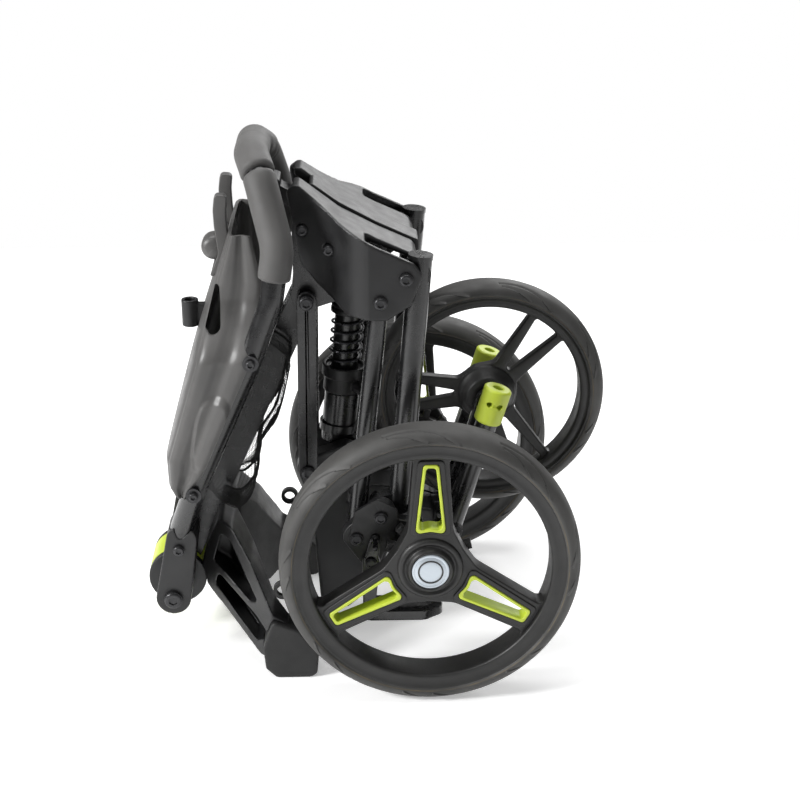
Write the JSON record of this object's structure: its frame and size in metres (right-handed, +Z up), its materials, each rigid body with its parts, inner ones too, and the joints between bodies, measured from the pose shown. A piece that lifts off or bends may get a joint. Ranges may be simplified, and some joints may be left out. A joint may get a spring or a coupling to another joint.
{
  "type": "golf push trolley",
  "caption": "Folded three-wheel golf push trolley: hinged spine, looped handle with tray and net, swinging rear legs and a folding front wheel.",
  "frame": {"origin": "floor level under the middle of the folded trolley", "axes": "+Z up, +X towards the front wheel, Y across the trolley along the wheel axles"},
  "size_m": [0.454, 0.34, 0.513],
  "materials": {
    "charcoal_plastic": "moulded satin",
    "black_metal": "satin black powder coat over aluminium tube",
    "tyre_rubber": "matt dark grey",
    "lime_plastic": "satin lime",
    "silver_cap": "satin",
    "steel": "zinc plated",
    "grip_foam": "matt foam",
    "pad_rubber": "matt",
    "net_fabric": "open mesh",
    "strap_webbing": "woven"
  },
  "bodies": {
    "mid_frame": {"bracket_shell_right": "charcoal_plastic", "bracket_shell_left": "charcoal_plastic", "bracket_ridge_cover": "charcoal_plastic", "bracket_core": "black_metal", "frame_pins": "steel", "bracket_screws": "steel"},
    "main_tube": {"inner_tube": "black_metal", "outer_tube": "black_metal", "tube_boot": "charcoal_plastic", "coil_spring": "steel"},
    "lock_collar": {"lock_collar": "charcoal_plastic"},
    "side_bars": {"side_bars": "black_metal"},
    "front_housing": {"front_housing_right": "charcoal_plastic", "front_housing_left": "charcoal_plastic", "housing_pins": "steel"},
    "front_frame": {"fork_blades": "black_metal", "bag_arms": "black_metal", "arm_caps": "lime_plastic", "fork_sleeves": "charcoal_plastic", "fork_pivot_pin": "steel", "front_axle": "steel"},
    "front_wheel": {"front_rim": "charcoal_plastic", "front_tyre": "tyre_rubber"},
    "spine": {"spine_tube": "black_metal", "hinge_drum": "charcoal_plastic", "drum_ring": "lime_plastic", "cradle_yoke": "charcoal_plastic", "cradle_pad_right": "pad_rubber", "cradle_pad_left": "pad_rubber", "cradle_straps": "strap_webbing"},
    "handle": {"handle_tube": "black_metal", "foam_grip_right": "grip_foam", "foam_grip_left": "grip_foam", "crown_grip": "grip_foam", "hinge_sleeves": "charcoal_plastic", "handle_bolts": "steel", "console_shell": "charcoal_plastic", "card_holder": "charcoal_plastic", "accessory_socket": "charcoal_plastic", "storage_net": "net_fabric"},
    "spine_latch": {"spine_latch": "charcoal_plastic"},
    "brake_pedal": {"brake_pedal": "black_metal"},
    "leg_right": {"leg_tube_right": "black_metal"},
    "strut_right": {"leg_strut_right": "black_metal"},
    "carrier_right": {"wheel_carrier_right": "charcoal_plastic", "carrier_cover_right": "black_metal", "carrier_pins_right": "steel"},
    "rear_wheel_right": {"rear_rim_right": "charcoal_plastic", "rear_tyre_right": "tyre_rubber", "spoke_inserts_right": "lime_plastic", "hub_cap_right": "silver_cap"},
    "leg_left": {"leg_tube_left": "black_metal"},
    "strut_left": {"leg_strut_left": "black_metal"},
    "carrier_left": {"wheel_carrier_left": "charcoal_plastic", "carrier_cover_left": "black_metal", "carrier_pins_left": "steel"},
    "rear_wheel_left": {"rear_rim_left": "charcoal_plastic", "rear_tyre_left": "tyre_rubber", "spoke_inserts_left": "lime_plastic", "hub_cap_left": "silver_cap"}
  },
  "joints": [
    {"name": "spine_fold", "type": "hinge", "parent": "mid_frame", "child": "spine", "pos_m": [-0.0615, 0, 0.363], "axis": [0, 1, 0], "range_deg": [0, 110]},
    {"name": "handle_fold", "type": "hinge", "parent": "spine", "child": "handle", "pos_m": [-0.198, 0, 0.064], "axis": [0, -1, 0], "range_deg": [0, 176]},
    {"name": "tube_swing", "type": "hinge", "parent": "mid_frame", "child": "main_tube", "pos_m": [-0.025, 0, 0.375], "axis": [0, -1, 0], "range_deg": [0, 55]},
    {"name": "bar_swing", "type": "hinge", "parent": "mid_frame", "child": "side_bars", "pos_m": [-0.0615, 0, 0.363], "axis": [0, -1, 0], "range_deg": [-1, 56]},
    {"name": "housing_level", "type": "hinge", "parent": "main_tube", "child": "front_housing", "pos_m": [-0.027, 0, 0.2], "axis": [0, -1, 0], "range_deg": [-56, 1]},
    {"name": "front_frame_fold", "type": "hinge", "parent": "front_housing", "child": "front_frame", "pos_m": [0.075, 0, 0.128], "axis": [0, 1, 0], "range_deg": [0, 126]},
    {"name": "leg_swing_right", "type": "hinge", "parent": "mid_frame", "child": "leg_right", "pos_m": [0.0295, -0.0765, 0.399], "axis": [0, -1, 0], "range_deg": [0, 90]},
    {"name": "leg_swing_left", "type": "hinge", "parent": "mid_frame", "child": "leg_left", "pos_m": [0.0295, 0.0765, 0.399], "axis": [0, -1, 0], "range_deg": [0, 90]},
    {"name": "strut_swing_right", "type": "hinge", "parent": "mid_frame", "child": "strut_right", "pos_m": [0.0065, -0.0765, 0.377], "axis": [0, -1, 0], "range_deg": [0, 90]},
    {"name": "carrier_level_right", "type": "hinge", "parent": "leg_right", "child": "carrier_right", "pos_m": [0.0056, -0.097, 0.168], "axis": [0, -1, 0], "range_deg": [-90, 0]},
    {"name": "rear_wheel_spin_right", "type": "hinge", "parent": "carrier_right", "child": "rear_wheel_right", "pos_m": [0.05, -0.1454, 0.14], "axis": [0, 1, 0], "continuous": true},
    {"name": "strut_swing_left", "type": "hinge", "parent": "mid_frame", "child": "strut_left", "pos_m": [0.0065, 0.0765, 0.377], "axis": [0, -1, 0], "range_deg": [0, 90]},
    {"name": "carrier_level_left", "type": "hinge", "parent": "leg_left", "child": "carrier_left", "pos_m": [0.0056, 0.097, 0.168], "axis": [0, -1, 0], "range_deg": [-90, 0]},
    {"name": "rear_wheel_spin_left", "type": "hinge", "parent": "carrier_left", "child": "rear_wheel_left", "pos_m": [0.05, 0.1454, 0.14], "axis": [0, 1, 0], "continuous": true},
    {"name": "front_wheel_spin", "type": "hinge", "parent": "front_frame", "child": "front_wheel", "pos_m": [0.112, 0, 0.252], "axis": [0, 1, 0], "continuous": true},
    {"name": "collar_slide", "type": "slide", "parent": "main_tube", "child": "lock_collar", "axis": [0.092, 0, 0.9958], "range_m": [0, 0.012], "stiffness_N_per_m": 900, "springref_m": -0.012, "deforming": ["coil_spring"]},
    {"name": "pedal_press", "type": "hinge", "parent": "carrier_right", "child": "brake_pedal", "pos_m": [-0.004, -0.108, 0.122], "axis": [0, 1, 0], "range_deg": [0, 16], "stiffness_Nm_per_rad": 0.6, "springref_deg": -17.19},
    {"name": "latch_lift", "type": "hinge", "parent": "mid_frame", "child": "spine_latch", "pos_m": [-0.068, 0, 0.447], "axis": [0, 1, 0], "range_deg": [0, 18], "stiffness_Nm_per_rad": 0.25, "springref_deg": -22.92}
  ],
  "couplings": [
    {"joint": "handle_fold", "follows": "spine_fold", "ratio": 1.59},
    {"joint": "bar_swing", "follows": "tube_swing", "ratio": 1},
    {"joint": "housing_level", "follows": "tube_swing", "ratio": -1},
    {"joint": "front_frame_fold", "follows": "tube_swing", "ratio": 2.27},
    {"joint": "leg_swing_left", "follows": "leg_swing_right", "ratio": 1},
    {"joint": "strut_swing_right", "follows": "leg_swing_right", "ratio": 1},
    {"joint": "carrier_level_right", "follows": "leg_swing_right", "ratio": -1},
    {"joint": "strut_swing_left", "follows": "leg_swing_right", "ratio": 1},
    {"joint": "carrier_level_left", "follows": "leg_swing_right", "ratio": -1}
  ]
}
